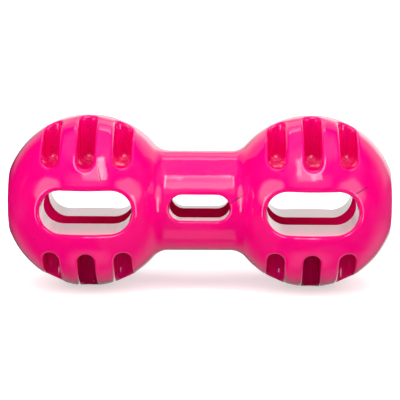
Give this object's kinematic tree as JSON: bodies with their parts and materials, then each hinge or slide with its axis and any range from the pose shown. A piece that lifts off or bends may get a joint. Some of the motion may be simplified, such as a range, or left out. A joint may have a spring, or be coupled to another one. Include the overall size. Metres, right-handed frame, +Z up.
{
  "type": "rubber chew toy",
  "caption": "Hollow rubber dumbbell chew toy: two slotted, windowed balls on a windowed bar, with a passage from end to end.",
  "frame": {"origin": "on the surface that the toy stands on, midway between the lowest points of the two balls", "axes": "+X along the toy's passage, from the left ball to the right ball; +Y into the picture, square to the bonded faces; +Z up"},
  "size_m": [0.1644, 0.0722, 0.0746],
  "materials": {
    "pink_rubber": "glossy moulded rubber, one hot pink colour throughout"
  },
  "bodies": {
    "root": {"front_half": "pink_rubber", "back_half": "pink_rubber"}
  },
  "joints": []
}
